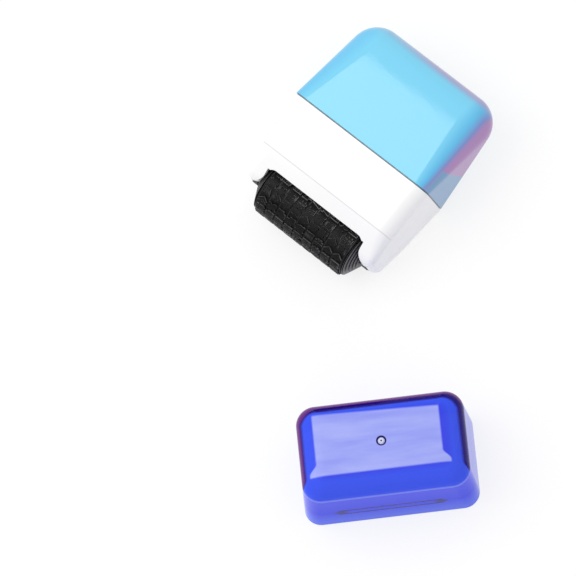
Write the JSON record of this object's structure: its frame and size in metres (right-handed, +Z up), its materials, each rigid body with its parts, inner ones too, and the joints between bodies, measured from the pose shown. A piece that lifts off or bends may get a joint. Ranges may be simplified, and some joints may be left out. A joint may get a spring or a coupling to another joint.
{
  "type": "privacy roller stamp",
  "caption": "Roller stamp with a two-part shell, an inked rubber roller with raised marks on an axle, a sprung ink roller above it, and a clear cap standing beside it.",
  "frame": {"origin": "middle of the flat back face of the lower housing, on which the stamp lies", "axes": "+X across the width, +Y from the roller end towards the top of the cover, +Z up out of the front face; +Z is minus the resting face's normal"},
  "size_m": [0.1275, 0.1417, 0.0334],
  "materials": {
    "blue_plastic": "high gloss",
    "white_plastic": "gloss",
    "black_plastic": "satin",
    "inked_rubber": "satin",
    "pale_plastic": "satin",
    "ink_felt": "matte",
    "steel": "satin",
    "spring_steel": "satin",
    "clear_blue_plastic": "clear gloss"
  },
  "bodies": {
    "housing": {"lower_housing": "white_plastic", "inner_frame": "black_plastic", "axle_bush_left": "pale_plastic", "axle_bush_right": "pale_plastic", "ink_spring_left": "spring_steel", "ink_spring_right": "spring_steel"},
    "cover": {"upper_cover": "blue_plastic"},
    "stamp_roller": {"stamp_sleeve": "inked_rubber", "stamp_core": "pale_plastic", "end_disc_left": "black_plastic", "end_disc_right": "black_plastic", "stamp_axle": "steel"},
    "ink_carriage": {"ink_axle": "steel", "ink_block_left": "pale_plastic", "ink_block_right": "pale_plastic"},
    "ink_roller": {"ink_felt": "ink_felt", "ink_core": "pale_plastic", "ink_disc_left": "black_plastic", "ink_disc_right": "black_plastic"},
    "cap": {"cap": "clear_blue_plastic"}
  },
  "joints": [
    {"name": "cover_pull", "type": "slide", "parent": "housing", "child": "cover", "axis": [0, 0.9894, 0.145], "range_m": [0, 0.045]},
    {"name": "stamp_spin", "type": "hinge", "parent": "housing", "child": "stamp_roller", "pos_m": [0, -0.02011, 0.01272], "axis": [1, 0, 0], "continuous": true},
    {"name": "ink_press", "type": "slide", "parent": "housing", "child": "ink_carriage", "axis": [0, 0.9894, 0.145], "range_m": [0, 0.001], "stiffness_N_per_m": 60, "springref_m": -0.001, "deforming": ["ink_spring_left", "ink_spring_right"]},
    {"name": "ink_spin", "type": "hinge", "parent": "ink_carriage", "child": "ink_roller", "pos_m": [0, -0.0025, 0.0153], "axis": [1, 0, 0], "continuous": true},
    {"name": "cap_lift", "type": "slide", "parent": "housing", "child": "cap", "axis": [0, 0, 1], "range_m": [0, 0.04]}
  ],
  "couplings": [
    {"joint": "ink_spin", "follows": "stamp_spin", "ratio": -1.5}
  ]
}
